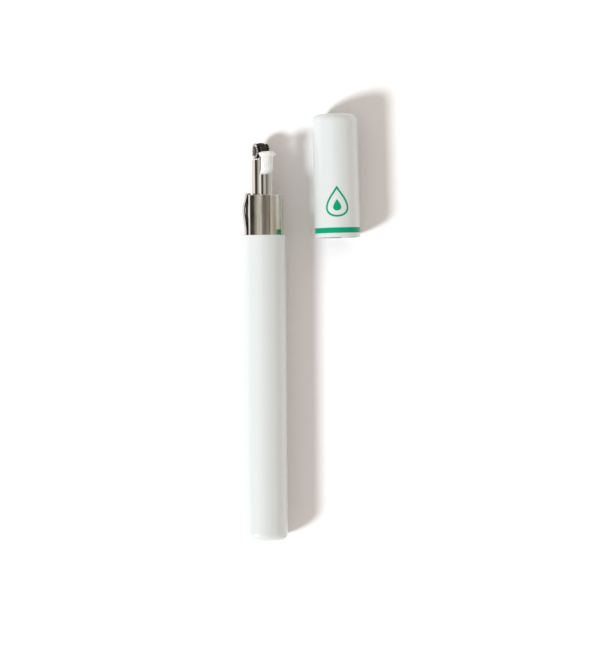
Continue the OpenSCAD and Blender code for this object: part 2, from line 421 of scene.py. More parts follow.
def colour(value):
    return value if isinstance(value, bpy.types.NodeSocket) else (*value, 1.0)


def lacquer(name, base, deep, rim, gloss=1.0):
    """Baked enamel: a faint orange peel, slow changes of tint, and bare metal where a rim is rubbed."""
    dust, bared = (0.35, 0.33, 0.3), (0.33, 0.31, 0.28)
    paint = Paint(name, {"IOR": 1.46, "Specular IOR Level": 0.5 * gloss, "Coat Weight": 0.2 * gloss,
                         "Coat Roughness": 0.1})
    tint = paint.mix(paint.grain((0.09, 0.05, 0.09), 2), base, deep)
    specks = paint.between(paint.grain(9, 2), 0.74, 0.8)
    tint = paint.mix(paint.times(specks, 0.05), tint, dust)
    rubbed = paint.between(paint.times(paint.wear(), paint.grain(2.2, 5)), 0.56, 0.64)
    tint = paint.mix(paint.times(rubbed, rim), tint, bared)
    rough = paint.between(paint.grain((0.3, 0.12, 0.3), 1), 0.2, 0.8, 0.22, 0.24)
    peel = paint.bump(paint.grain(0.9, 2), 0.0005)
    fine = paint.bump(paint.grain(7, 2), 0.0001, peel)
    return paint.use(tint, rough, fine)


def plated(name, base, tarnish, streak, rough=(0.1, 0.26)):
    """Bright plate over drawn or turned metal. streak is the fineness of its lines along each axis."""
    paint = Paint(name, {"Metallic": 1.0})
    lines = paint.grain(streak, 3, 0.6)
    cloud = paint.grain((0.35, 0.12, 0.35), 4)
    tint = paint.mix(paint.between(cloud, 0.42, 0.68), base, tarnish)
    tint = paint.mix(paint.between(lines, 0.35, 0.75, 0.0, 0.35), tint, [v * 0.62 for v in base])
    tint = paint.mix(paint.times(paint.wear(), 0.35), tint, [min(1, v * 1.2) for v in base])
    roughness = paint.between(paint.grain((0.8, 0.3, 0.8), 4), 0.3, 0.7, *rough)
    drawn = paint.bump(lines, 0.0011)
    pits = paint.bump(paint.grain(3.5, 2), 0.0006, drawn)
    return paint.use(tint, roughness, pits)


def cut_steel(name, base, tip, rough, dirt):
    """Hardened steel: dark in the cuts, brighter on the crests that are rubbed, and sooty."""
    soot = (0.018, 0.016, 0.014)
    paint = Paint(name, {"Metallic": 0.85})
    crest = paint.times(paint.between(paint.wear(), 0.45, 1.0), paint.grain(3))
    tint = paint.mix(paint.between(crest, 0.12, 0.5), base, tip)
    tint = paint.mix(paint.between(paint.grain(1.1, 4), 0.45, 0.7, 0.0, dirt), tint, soot)
    roughness = paint.between(paint.grain(4), 0.3, 0.7, rough - 0.08, rough + 0.12)
    grit = paint.bump(paint.grain(12), 0.004)
    return paint.use(tint, roughness, grit)


def fibre(name, base, shade, streak, depth):
    """Loose fibre: matt, with strands along one axis and a soft sheen."""
    paint = Paint(name, {"Roughness": 0.95, "Sheen Weight": 0.25, "Sheen Roughness": 0.6,
                         "Specular IOR Level": 0.15, "Subsurface Weight": 0.7,
                         "Subsurface Scale": 0.0015, "Subsurface Radius": (1.0, 1.0, 1.0)})
    strands = paint.grain(streak, 4, 0.65)
    clumps = paint.grain((1.6, 0.8, 1.6))
    both = paint.times(strands, paint.plus(clumps, 0.5))
    tint = paint.mix(paint.between(both, 0.3, 0.72), shade, base)
    rough = paint.between(clumps, 0.3, 0.7, 0.85, 1.0)
    return paint.use(tint, rough, paint.bump(both, depth))


def dull(name, base, shade, rough, metallic=0.3, specular=0.5):
    """Cast flint alloy, or a black that paints shade where a gap is dark: grey or black, pitted, with a
    powdery top.
    """
    paint = Paint(name, {"Metallic": metallic, "Specular IOR Level": specular})
    spots = paint.grain(2.5, 5)
    tint = paint.mix(paint.between(spots, 0.35, 0.65), base, shade)
    roughness = paint.between(spots, 0.3, 0.7, rough - 0.15, rough + 0.1)
    return paint.use(tint, roughness, paint.bump(spots, 0.01))


# Fineness of a metal's lines along each axis: drawn along the lighter, or rolled across it
DRAWN, ROLLED = (5.0, 0.12, 5.0), (1.0, 6.0, 1.0)
WHITE = lacquer("white lacquer", (0.69, 0.73, 0.725), (0.68, 0.72, 0.715), 0.5)
GREEN = lacquer("green print", (0.001, 0.345, 0.18), (0.001, 0.315, 0.163), 0.2, 0.25)
BARE = plated("bare drawn metal", (0.42, 0.40, 0.36), (0.3, 0.26, 0.2), (2.5, 0.12, 2.5), (0.3, 0.5))
NICKEL = plated("bright nickel", (0.70, 0.665, 0.60), (0.60, 0.53, 0.42), DRAWN, (0.05, 0.15))
TUBE_NICKEL = plated("drawn nickel", (0.72, 0.685, 0.63), (0.64, 0.58, 0.48), DRAWN, (0.02, 0.07))
TURNED = plated("turned nickel", (0.70, 0.665, 0.60), (0.62, 0.56, 0.45), (0.3, 9.0, 0.3), (0.16, 0.3))
SPRING = plated("spring steel", (0.62, 0.60, 0.57), (0.5, 0.47, 0.42), ROLLED, (0.16, 0.3))
# Painted shade: a darker copy of the spring steel for the leaf, which lies in its own shadow
SHADED_LEAF_STEEL = plated("leaf steel", (0.44, 0.42, 0.40), (0.33, 0.31, 0.29), ROLLED, (0.16, 0.3))
# Painted shade: a black for the collar's flat behind the leaf and for the leaf's hidden side and upper
# edge
PAINTED_SHADE_BLACK = dull("blackened steel", (0.02, 0.016, 0.015), (0.01, 0.008, 0.007), 0.7, 0.0, 0.08)
BRASS = plated("brass", (0.72, 0.53, 0.25), (0.55, 0.36, 0.16), (0.4, 7.0, 0.4), (0.2, 0.38))
FILE_STEEL = cut_steel("file-cut steel", (0.04, 0.036, 0.032), (0.15, 0.14, 0.13), 0.42, 0.6)
WHEEL_STEEL = cut_steel("wheel steel", (0.03, 0.027, 0.025), (0.90, 0.86, 0.80), 0.38, 0.2)
WICK_WHITE = fibre("wick fibre", (0.80, 0.81, 0.80), (0.73, 0.735, 0.72), (7, 0.5, 7), 0.03)
COTTON = fibre("cotton wadding", (0.86, 0.84, 0.79), (0.66, 0.63, 0.56), 2.5, 0.12)
FELT = fibre("pressed felt", (0.60, 0.58, 0.53), (0.42, 0.40, 0.36), 6, 0.05)
FLINT = dull("flint alloy", (0.17, 0.16, 0.15), (0.09, 0.085, 0.08), 0.6)


# --- barrel and cap
PRINT_T = 0.012        # how far the printed band and emblem stand out


def drawn_tube(length):
    """A closed tube with its closed end at height 0. Only its mouth is worn."""
    outline = rounded([(0, 0, 0), (BARREL_R, 0, END_ROUND), (BARREL_R, length, MOUTH_ROUND),
                       (BORE_R, length, MOUTH_ROUND), (BORE_R, END_T, INNER_ROUND), (0, END_T, 0)], 7)
    return lathe([(r, y, wear if y > length / 2 else 0.0) for r, y, wear in outline], ROUND)


def inside(face):
    """1 for a face of the bore, which is bare metal, and 0 for a lacquered one."""
    centre = face.calc_center_median()
    faces_axis = centre.x * face.normal.x + centre.z * face.normal.z < -0.01
    end_of_bore = face.normal.y > 0.5 and centre.y < 2 * END_T
    return int(faces_axis or end_of_bore)


def wrapped(across, along, height):
    """A point on the cap's upper side: across it, along it from the mouth, and above its surface."""
    return ring_point(BARREL_R + height, across / BARREL_R, along)


def drop_outline(width, height, steps):
    """Points of a pointed drop, with its tip up, about its own middle."""
    fullness = 1.5
    widest = 0.703     # largest value of sin(t) * sin(t / 2) ** fullness
    points = []
    for k in range(steps):
        t = tau * k / steps
        x = width / 2 / widest * sin(t) * sin(t / 2) ** fullness
        points.append(Vector((x, height / 2 * cos(t))))
    return points


def print_sheet(rows, closed):
    """A thin printed layer on the cap, made of rows of points, with walls down into the lacquer."""
    below = -0.02
    bm = blank()[0]
    strips = []
    for row in rows:
        top = [bm.verts.new(wrapped(p.x, p.y, PRINT_T)) for p in row]
        low = [bm.verts.new(wrapped(p.x, p.y, below)) for p in (row[-1], row[0])]
        strips.append(top + low)
    skin(bm, strips, closed)
    return bm


def drop_ring(centre_y, width, height, line):
    """The emblem's outline: a closed band of even width along a drop."""
    steps = 120
    path = drop_outline(width, height, steps)
    rows = []
    for k, point in enumerate(path):
        way = (path[(k + 1) % steps] - path[k - 1]).normalized()
        side = Vector((-way.y, way.x))
        rows.append([point + Vector((0, centre_y)) + side * line * s for s in (-0.5, -0.17, 0.17, 0.5)])
    return print_sheet(rows, True)


def drop_fill(centre_y, width, height):
    """The emblem's solid inner drop, in slices from its foot to its tip."""
    steps = 60
    path = drop_outline(width, height, steps)
    rows = [[Vector((point.x * s / 4, point.y + centre_y)) for s in range(-4, 5)]
            for point in reversed(path[1:steps // 2])]
    return print_sheet(rows, False)


def barrel_and_cap():
    piece("lacquered_barrel", drawn_tube(SHOULDER), [WHITE, BARE], "barrel", "white_lacquer",
          "barrel_shell", pick=inside)
    turned_round = CAP_PLACE @ Matrix.Translation((0, CAP_LEN, 0)) @ Matrix.Rotation(pi, 4, "X")
    piece("lacquered_cap", drawn_tube(CAP_LEN), [WHITE, BARE], "cap", "white_lacquer", "cap_shell",
          pick=inside, place=turned_round)
    band_low, band_high, soft = 1.0, 2.25, 0.008
    low_r, high_r = BARREL_R - PRINT_T, BARREL_R + PRINT_T
    band = rounded([(low_r, band_low, 0), (high_r, band_low, soft), (high_r, band_high, soft),
                    (low_r, band_high, 0)], 2)
    emblem_y = 8.2
    for name, print_bm in (("cap_band", lathe(band, ROUND)),
                           ("cap_emblem_outline", drop_ring(emblem_y, width=4.9, height=6.6, line=0.45)),
                           ("cap_emblem_drop", drop_fill(emblem_y - 0.75, width=1.9, height=2.7))):
        piece(name, print_bm, GREEN, "cap", "green_print", place=CAP_PLACE)


# --- insert
TANK_WALL = 0.35
FLAT_X = 3.65          # flat for the leaf spring, from the axis
BLOCK_Y = SHOULDER - 2
WICK_TUBE_R = 1.65
WICK_BORE_R = 1.5
FLINT_TUBE_R = 1.6
FLINT_BORE_R = 1.3
HOLDER_R = 2.1
PRESS_GAP = 0.01       # between brazed or pressed pieces
LEAF_T = 0.2
LEAF_HALF_W = 1.6
LEAF_PEAK = 4.49
HOOK_X = 2.9
HOOK_DEPTH = 0.95      # how far the leaf's bent end reaches down into the collar
FLAT_TURN = Matrix.Rotation(radians(8), 4, "Y")


def shaft(radius, low, high, place, mouth=0.0):
    """A cutter for a bore, with a countersink of that width at its upper mouth."""
    top = high + 1
    outline = [(0, low, 0), (radius, low, 0), (radius, high - mouth, 0), (radius + mouth, high, 0),
               (radius + mouth, top, 0), (0, top, 0)]
    return placed(lathe(outline), place)


def collar():
    """Turned block: the bright collar, with its flat and its bores, and the spigot inside the tank."""
    chamfer = 0.16
    spigot_r = COLLAR_R - TANK_WALL - PRESS_GAP
    low = collar_low.y
    outline = [(0, low, 0), (spigot_r, low, 0.2), (spigot_r, BLOCK_Y, 0), (COLLAR_R, BLOCK_Y, 0.12),
               (COLLAR_R, COLLAR_TOP, chamfer), (0, COLLAR_TOP, 0)]
    turned = lathe(rounded(outline, 4), ROUND)
    half_flat = sqrt(COLLAR_R ** 2 - FLAT_X ** 2)
    far = COLLAR_R + 1

    def broken(side, width):
        """The cut of that width along one edge of the flat."""
        return [(-FLAT_X, side * (half_flat - width)),
                (-FLAT_X + 1.2 * width, side * (half_flat + 0.8 * width))]

    cross = [*broken(1, 0.24), (-FLAT_X, far), (-far, far), (-far, -far), (-FLAT_X, -far),
             *reversed(broken(-1, 0.05))]
    flat_low = BLOCK_Y + 0.4
    lying = Matrix(((1, 0, 0, 0), (0, 0, 1, 0), (0, 1, 0, 0), (0, 0, 0, 1)))
    flat = placed(prism(cross, flat_low, COLLAR_TOP + 1), FLAT_TURN @ lying)
    slot_mid = -HOOK_X - LEAF_T / 2
    half_slot, slot_room = 0.18, 0.15
    slot = block((slot_mid - half_slot, COLLAR_TOP - HOOK_DEPTH, -LEAF_HALF_W - slot_room),
                 (slot_mid + half_slot, COLLAR_TOP + 1, LEAF_HALF_W + slot_room))
    cutters = (shaft(WICK_TUBE_R + PRESS_GAP, low - 1, COLLAR_TOP, WICK_PLACE, 0.05),
               shaft(FLINT_TUBE_R + PRESS_GAP, low - 1, SHOULDER + 4.5, HOLDER_PLACE),
               shaft(HOLDER_R + PRESS_GAP, SHOULDER + 4, COLLAR_TOP, HOLDER_PLACE, 0.05),
               flat, placed(slot, FLAT_TURN))
    solid = carved(turned, cut=cutters)
    turned_back = FLAT_TURN.inverted()
    flat_way = FLAT_TURN.to_3x3() @ Vector((-1, 0, 0))
    behind_leaf = 1.95     # where the painted shade on the flat ends, across it

    def on_flat(face):
        from_flat = (turned_back @ face.calc_center_median()).x + FLAT_X
        return face.normal.dot(flat_way) > 0.99 and abs(from_flat) < 0.02

    facet = [face for face in solid.faces if on_flat(face)]
    parts = {part for face in facet for part in (face, *face.edges, *face.verts)}
    bmesh.ops.bisect_plane(solid, geom=list(parts), plane_co=FLAT_TURN @ Vector((0, 0, behind_leaf)),
                           plane_no=FLAT_TURN.to_3x3() @ Vector((0, 0, 1)))

    def shaded(face):
        """1 for the flat behind and below the leaf, which is painted black as shade."""
        return int(on_flat(face) and (turned_back @ face.calc_center_median()).z < behind_leaf)

    piece("collar_block", solid, [NICKEL, PAINTED_SHADE_BLACK], "insert", "nickel", "head_block", sharp=30,
          pick=shaded)


QUARTER = [radians(18 * k) for k in range(6)]     # angles of a quarter turn in steps


def solder_fillet(name, radius, place):
    """A concave bead of solder round the foot of a tube that stands on the collar."""
    size, sunk, under = 0.11, 0.02, 0.05

    def lumps(r, angle, height, wear):
        return r + 0.02 * noise.noise(Vector((3 * cos(angle), 3 * sin(angle), radius))), wear

    outline = [(radius - under, COLLAR_TOP - sunk, 0), (radius + size, COLLAR_TOP - sunk, 0)]
    outline += [(radius + size * (1 - sin(a)), COLLAR_TOP + size * (1 - cos(a)), 1.0)
                for a in QUARTER]
    outline += [(radius - under, COLLAR_TOP + size, 0)]
    piece(name, lathe(outline, FINE, lumps), TURNED, "insert", "nickel", place=place)


def tubes():
    """The wick tube in front, the flint tube behind, and the tank below them with its rolled groove."""
    outline = rounded(pipe(WICK_BORE_R, WICK_TUBE_R, "wick_tube", (0.05, 0.05, 0.07, 0.07)), 4)
    piece("wick_sleeve", lathe(outline), TUBE_NICKEL, "insert", "nickel", "wick_tube", place=WICK_PLACE)
    outline = rounded(pipe(FLINT_BORE_R, FLINT_TUBE_R, "flint_tube", (0.06, 0.1, 0.06, 0.06)), 3)
    piece("flint_pipe", lathe(outline), BRASS, "insert", "brass", "flint_tube", place=HOLDER_PLACE)
    low, high = reach("tank_tube")
    inner, outer = COLLAR_R - TANK_WALL, COLLAR_R
    curl, curl_y = inner - 0.3, low.y + TANK_WALL
    groove_y, half, depth = 3.2, 0.5, 0.1
    outline = rounded([(inner, high.y, 0.05), (outer, high.y, 0.08), (outer, groove_y + half, 0.5),
                       (outer - depth, groove_y, 0.5), (outer, groove_y - half, 0.5),
                       (outer, low.y, 0.3), (curl, low.y, 0.1), (curl, curl_y, 0.1),
                       (inner, curl_y, 0.15)], 4)
    piece("tank_can", lathe(outline, ROUND), NICKEL, "insert", "nickel", "tank_tube")


def wheel_carrier():
    """Tube whose top is cut into two ears that hold the axle."""
    low_y = reach("wheel_holder")[0].y
    wheel_low = reach("spark_wheel")[0].y
    shelf = wheel_low - 0.08
    ear_r, base, base_top = 1.15, 1.7, -1.5
    axle_hole_r = 0.53
    body = placed(lathe(rounded(rod(HOLDER_R, low_y, shelf, 0.1, 0.1), 4), ROUND), HOLDER_PLACE)
    arc = [(ear_r * cos(a), ear_r * sin(a))
           for a in (radians(-14 + 208 * k / 40) for k in range(41))]
    foot = shelf - AXLE_Y - 0.5
    outline = [(-base, foot), (base, foot), (base, base_top)] + arc + [(-base, base_top)]
    ears = []
    for side in (-1, 1):
        ear = placed(prism(outline, *sorted((side * EAR_IN, side * EAR_OUT))), AXLE_PLACE)
        tube = placed(lathe(rod(HOLDER_R - 0.001, shelf - 0.4, AXLE_Y + 3), ROUND), HOLDER_PLACE)
        ears.append(carved(ear, within=[tube]))
    cutters = (placed(lathe(rod(axle_hole_r, -3, 3), 48), WHEEL_PLACE),
               shaft(FLINT_BORE_R, low_y - 1, wheel_low + 0.07, HOLDER_PLACE),
               shaft(FLINT_TUBE_R + PRESS_GAP, low_y - 1, reach("flint_tube")[1].y - 1, HOLDER_PLACE))
    solid = edged(carved(body, ears, cutters), 0.035)
    piece("wheel_carrier", solid, TUBE_NICKEL, "insert", "nickel", "wheel_holder", sharp=35)


def grip_leaf():
    """Bowed strip of spring steel, bent over the collar's rim at its top and rounded at its foot."""
    low, high = reach("leaf_spring")
    half_t = LEAF_T / 2
    top_x, low_x = FLAT_X + 0.28, FLAT_X + 0.41
    peak_y, foot_y = SHOULDER + 5.9, SHOULDER + 1
    line = [(half_t - low_x, low.y + (foot_y - low.y) * k / 6) for k in range(6)]
    for k in range(33):
        y = foot_y + (COLLAR_TOP - foot_y) * k / 32
        end_x, end_y = (top_x, COLLAR_TOP) if y > peak_y else (low_x, foot_y)
        rise = (1 - cos(pi * (end_y - y) / (end_y - peak_y))) / 2
        line.append((half_t - end_x - (LEAF_PEAK - end_x) * rise, y))
    bend = 0.22
    top = high.y - half_t
    hook_centre = -HOOK_X - half_t
    outer = half_t - top_x
    line += [(outer + bend * (1 - cos(a)), top - bend + bend * sin(a)) for a in QUARTER]
    line += [(hook_centre - bend + bend * sin(a), top - bend + bend * cos(a)) for a in QUARTER]
    line.append((hook_centre, high.y - HOOK_DEPTH))
    points = [Vector(p) for p in line]
    bm, wear = blank()
    corner, foot_round, narrowing = 0.06, 1.1, 0.45
    rings = []
    for k, point in enumerate(points):
        way = (points[min(k + 1, len(points) - 1)] - points[max(k - 1, 0)]).normalized()
        side = Vector((way.y, -way.x))
        from_foot = min(1.0, (point.y - low.y + 0.02) / foot_round)
        half = LEAF_HALF_W * (1 - narrowing * (1 - sqrt(1 - (1 - from_foot) ** 2)))
        ring = []
        for w, t in ((1, 1), (-1, 1), (-1, -1), (1, -1)):
            for a in (radians(30 * turn) for turn in range(4)):
                in_w, in_t = cos(a), sin(a)
                if w != t:
                    in_w, in_t = in_t, in_w
                depth = t * (half_t - corner * (1 - in_t))
                spread = w * (half - corner * (1 - in_w))
                vert = bm.verts.new((point.x + side.x * depth, point.y + side.y * depth, spread))
                vert[wear] = 1.0
                ring.append(vert)
        rings.append(ring)
    skin(bm, rings, ends=True)

    def inner_side(face):
        """1 for the side towards the flat and for the bow's upper edge, which are painted black as shade.
        """
        bow = SHOULDER + 1.5 < face.calc_center_median().y < COLLAR_TOP - 0.8
        return int(face.normal.x > 0.3 or (bow and face.normal.z > 0.6))

    # The leaf's inner side and the bow's upper edge are painted black as shade; its outer side is a
    # darker copy of the spring steel as painted shade
    piece("grip_leaf", bm, [SHADED_LEAF_STEEL, PAINTED_SHADE_BLACK], "spring_clip", "spring_steel", "leaf_spring",
          place=FLAT_TURN, sharp=45, pick=inner_side)


# --- striker
# From the axle's middle: the spark wheel's side, the two faces of an ear, and those of a thumb wheel
WHEEL_SIDE = 0.85
EAR_IN, EAR_OUT = 0.90, 1.15
THUMB_IN, THUMB_OUT = 1.20, 1.60
AXLE_HOLE = 0.51


def knurled_wheel():
    """File-cut wheel: two families of slanting grooves leave rows of small diamonds."""
    tip, half_w, depth = 1.9, WHEEL_SIDE, 0.15
    count, across = 26, 26
    slant = 1.5                     # ridges crossed by a groove between one face and the other
    round_w, round_d = 0.4, 0.2     # how far in along the axle, and how deep, a worn edge is rounded

    def diamonds(radius, angle, height, worn):
        if worn < 0.5:
            return radius, 0.0
        turn = angle * count / tau
        lean = slant * height / (2 * half_w)
        crest = min(1.0, 1.7 * zigzag(turn + lean), 1.7 * zigzag(turn - lean))
        out = max(0.0, 1 - (half_w - abs(height)) / round_w)
        return tip - depth * (1 - crest) - round_d * out ** 1.6, crest

    dish = half_w - 0.05
    side = [(AXLE_HOLE, half_w), (0.82, half_w), (0.86, dish), (1.35, dish), (1.4, half_w),
            (1.52, half_w)]
    outline = [(r, -h, 0.0) for r, h in side]
    outline += [(tip, half_w * (2 * k / across - 1), 1.0) for k in range(across + 1)]
    outline += [(r, h, 0.0) for r, h in reversed(side)]
    piece("knurled_wheel", lathe(outline, count * 12, diamonds), FILE_STEEL, "wheel", "hardened_steel",
          "spark_wheel", place=WHEEL_PLACE, sharp=60)


def toothed_disc(name, node, side):
    """Thumb wheel: coarse teeth, whose gaps run on over a bevel of its outer face."""
    teeth, tip, depth, width = 16, 1.75, 0.24, THUMB_OUT - THUMB_IN
    cut_from = 1.0                         # radius where the gaps start to cut into the rim
    face_cut, face_from, face_fade = 0.28, 0.7, 0.6

    def tooth(angle):
        return max(0.0, min(1.0, (zigzag(angle * teeth / tau) - 0.2) / 0.45))

    def shaped(radius, angle, height, worn):
        if worn < 0.25:
            return radius, 0.0
        share = max(0.0, (radius - cut_from) / (tip - cut_from))
        rubbed = 1.0 if height > width - 0.05 and radius < tip - 0.1 else 0.5
        crest = tooth(angle) * min(1.0, (radius - face_from) / 0.4) * rubbed
        return radius - depth * (1 - tooth(angle)) * share ** 0.5, crest

    outline = [(AXLE_HOLE, 0, 0), (AXLE_HOLE, width, 0), (0.8, width, 0), (0.85, width - 0.02, 0.5)]
    outline += [(radius, width - 0.02, 1) for radius in (1.0, 1.2, 1.4)]
    outline += [(tip - 0.14, width - 0.03, 1), (tip - 0.03, width - 0.08, 1), (tip, width - 0.14, 1),
                (tip, 0.1, 1), (tip - 0.02, 0.05, 1), (tip - 0.07, 0.0, 1), (1.35, 0, 1), (1.0, 0, 0)]
    bm = lathe(outline, teeth * 20, shaped)
    for vert in bm.verts:
        radius = hypot(vert.co.x, vert.co.z)
        if radius > face_from and vert.co.y > width / 2:
            angle = atan2(vert.co.x, vert.co.z)
            fade = min(1.0, (radius - face_from) / face_fade)
            vert.co.y -= face_cut * (1 - tooth(angle)) * fade
    bm.transform(Matrix.Translation((0, THUMB_IN, 0)))
    mirror = Matrix.Scale(side, 4, (0, 1, 0))
    piece(name, bm, WHEEL_STEEL, "wheel", "wheel_steel", node, place=WHEEL_PLACE @ mirror,
          sharp=50)


def axle_pin():
    """Headed pin: domed heads, each with the dimple of the punch that closed it."""
    top = THUMB_OUT + 0.16
    head = [(0.5, THUMB_OUT - 0.02), (0.66, THUMB_OUT), (0.72, THUMB_OUT + 0.04), (0.70, top - 0.06),
            (0.58, top - 0.015), (0.34, top), (0.26, top - 0.01), (0.18, top - 0.07), (0, top - 0.09)]
    outline = [(r, -h, 1.0) for r, h in reversed(head)] + [(r, h, 1.0) for r, h in head]
    piece("axle_pin", lathe(outline, 64), FILE_STEEL, "wheel", "wheel_steel", "wheel_axle",
          place=WHEEL_PLACE, sharp=50)


# --- flint and its feed
def flint_parts():
    """The round flint, the plunger with its stepped head, and the spring and screw below them."""
    low, high = reach("flint")
    flint_r = 1.2
    solid = lathe(dense(rounded(rod(flint_r, low.y, high.y, 0.12, 0.05), 3), 0.25), 64)
    piece("flint_rod", fuzzed(solid, 0.02, 0.5, 1), FLINT, "flint_feed", "flint_alloy", "flint",
          place=HOLDER_PLACE)
    low, high = reach("flint_plunger")
    stem_r, step_r, head_r, head_y = 0.6, 0.75, 1.27, high.y - 1.2
    outline = rounded([(0, low.y, 0), (stem_r, low.y, 0.3), (stem_r, head_y - 0.5, 0.05),
                       (step_r, head_y - 0.35, 0.05), (step_r, head_y, 0.05), (head_r, head_y, 0.12),
                       (head_r, high.y, 0.15), (0, high.y, 0)], 3)
    piece("plunger_rod", lathe(outline, 64), BRASS, "flint_feed", "brass", "flint_plunger",
          place=HOLDER_PLACE)
    coil_spring()
    flint_screw()


def coil_spring():
    """Round wire in an even helix, with a closed turn at each end. It shortens as the flint wears."""
    wire, coil, turns, sides, steps = 0.15, 0.95, 32, 10, 24
    low, high = reach("flint_spring")
    low, high = low.y + wire, high.y - wire
    closed = 2 * wire
    bm = blank()[0]
    rings = []
    for k in range(turns * steps + 1):
        turn = k / steps
        open_turn = min(max(turn - 1, 0), turns - 2)
        height = low + min(turn, 1) * closed + max(turn - turns + 1, 0) * closed
        height += open_turn * (high - low - 2 * closed) / (turns - 2)
        places = [ring_point(coil + wire * cos(b), tau * turn, height + wire * sin(b))
                  for b in (tau * s / sides for s in range(sides))]
        rings.append([bm.verts.new(place) for place in places])
    skin(bm, rings, ends=True)
    spring = piece("coil_spring", bm, SPRING, "insert", "spring_steel", "flint_spring",
                   place=HOLDER_PLACE)
    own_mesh(spring)


def flint_screw():
    """Slotted screw with a cut thread."""
    low, high = reach("flint_screw")
    shank, pitch, depth = 1.27, 0.45, 0.2
    head_top = low.y + 1

    def thread(radius, angle, height, worn):
        if worn < 0.9:
            return radius, worn
        phase = (height - head_top) / pitch - angle / tau
        crest = min(1.0, 1.35 * zigzag(phase))
        fade = max(0.0, min(1.0, (high.y - 0.02 - height) / 0.35, (height - head_top) / 0.3))
        return shank - depth * (1 - crest * fade), crest

    rows, head_r, tip_r = 112, 2.1, 0.95
    slot_depth, half_slot = 0.5, 0.25
    outline = [(0, low.y, 0), (head_r - 0.2, low.y, 0), (head_r - 0.1, low.y + 0.03, 0.5),
               (head_r - 0.02, low.y + 0.12, 0.5), (head_r, low.y + 0.17, 0.4),
               (head_r, head_top - 0.1, 0.4), (head_r - 0.08, head_top, 0.4), (1.3, head_top, 0)]
    first, last = head_top + 0.02, high.y - 0.02
    outline += [(shank, first + (last - first) * k / rows, 1.0) for k in range(rows + 1)]
    outline += [(tip_r, high.y, 0), (0, high.y, 0)]
    slot = block((-3, low.y - 1, -half_slot), (3, low.y + slot_depth, half_slot))
    solid = carved(lathe(outline, 64, thread), cut=[slot])
    piece("threaded_screw", solid, BRASS, "screw", "brass", "flint_screw", place=HOLDER_PLACE, sharp=35)


# --- wick, wadding and felt
def around(angle, height, across, along):
    """Noise round the wick, with that many waves across and along it."""
    return noise.noise(Vector((cos(angle) * across, height * along, sin(angle) * across)))


def strands(angle, height):
    """Ridges of the twisted strands round the wick, from 0 to 1."""
    return 0.5 + 0.5 * cos(angle * 15 + 0.55 * height + 1.6 * around(angle, height, 2, 0.5))


WICK_R = 1.29
WICK_LEAN = 0.3        # how far the free end of the wick stands to the right of its tube
# Tufts of the frayed end: direction round the wick, depth below its top, reach, spread and height
TUFTS = [(92, 0.85, 0.6, 32, 0.42), (-82, 0.68, 0.48, 26, 0.48), (35, 0.35, 0.18, 30, 0.4),
         (-30, 0.5, 0.14, 25, 0.4), (140, 0.4, 0.16, 30, 0.4)]


def tufted(angle, depth):
    """How far the tufts carry the wick's side outwards, at that depth below its top."""
    carried = 0.0
    for way, at, far, spread, tall in TUFTS:
        off = degrees(remainder(angle - radians(way), tau)) / spread
        carried += far * exp(-off * off - ((depth - at) / tall) ** 2)
    return carried


def wick_bundle():
    """The wick: strands up its side, a waist at the tube's mouth, and a flared, tufted top."""
    low, high = reach("wick")
    mouth = reach("wick_tube")[1].y
    ridge_depth, swell = 0.05, 0.09     # between the strands, and past the tube
    flare_len, flare = 2.6, 0.12
    crown_drop = 0.28

    def bundled(radius, angle, height, worn):
        if worn < 0.5:
            return radius, 0.0
        out = height - mouth
        ridge = strands(angle, height)
        if out < 0:
            return WICK_R - ridge_depth * (1 - ridge), ridge
        depth = high.y - height
        spread = flare * max(0.0, 1 - depth / flare_len) ** 1.5 + tufted(angle, depth)
        r = WICK_R + swell + spread - ridge_depth * (1 - ridge) + 0.04 * around(angle, height, 4, 2.5)
        return r * radius / WICK_R, ridge

    hidden = [(WICK_R, low.y + (mouth - low.y) * k / 40, 1.0) for k in range(40)]
    shown = [(WICK_R, mouth + (high.y - crown_drop - mouth) * k / 64, 1.0) for k in range(65)]
    crown = [(WICK_R * s, high.y - crown_drop + 0.16 * (1 - s), 1.0)
             for s in (0.93, 0.82, 0.68, 0.52, 0.36, 0.2, 0.08)]
    outline = [(0, low.y, 0)] + hidden + shown + crown + [(0, high.y - 0.12, 0)]
    bm = lathe(outline, 160, bundled)
    for vert in bm.verts:
        if vert.co.y > high.y - 0.5:
            vert.co.y += 0.14 * noise.fractal(Vector((vert.co.x, 0.3, vert.co.z)) * 1.7, 0.8, 2.2, 4)
            vert.co.y += 0.06 * (vert.co.x - abs(vert.co.x) ** 2 / 2)
            vert.co.y = min(vert.co.y, high.y)
    leaned(bm, mouth)
    piece("wick_bundle", bm, WICK_WHITE, "wick", "wick_fibre", "wick", place=WICK_PLACE, sharp=80)
    fibres(mouth, high.y, bundled)


def leaned(bm, mouth):
    """Bends the free end of the wick a little to the right."""
    for vert in bm.verts:
        share = max(0.0, min(1.0, (vert.co.y - mouth) / 1.5))
        vert.co.x += WICK_LEAN * share * share * (3 - 2 * share)


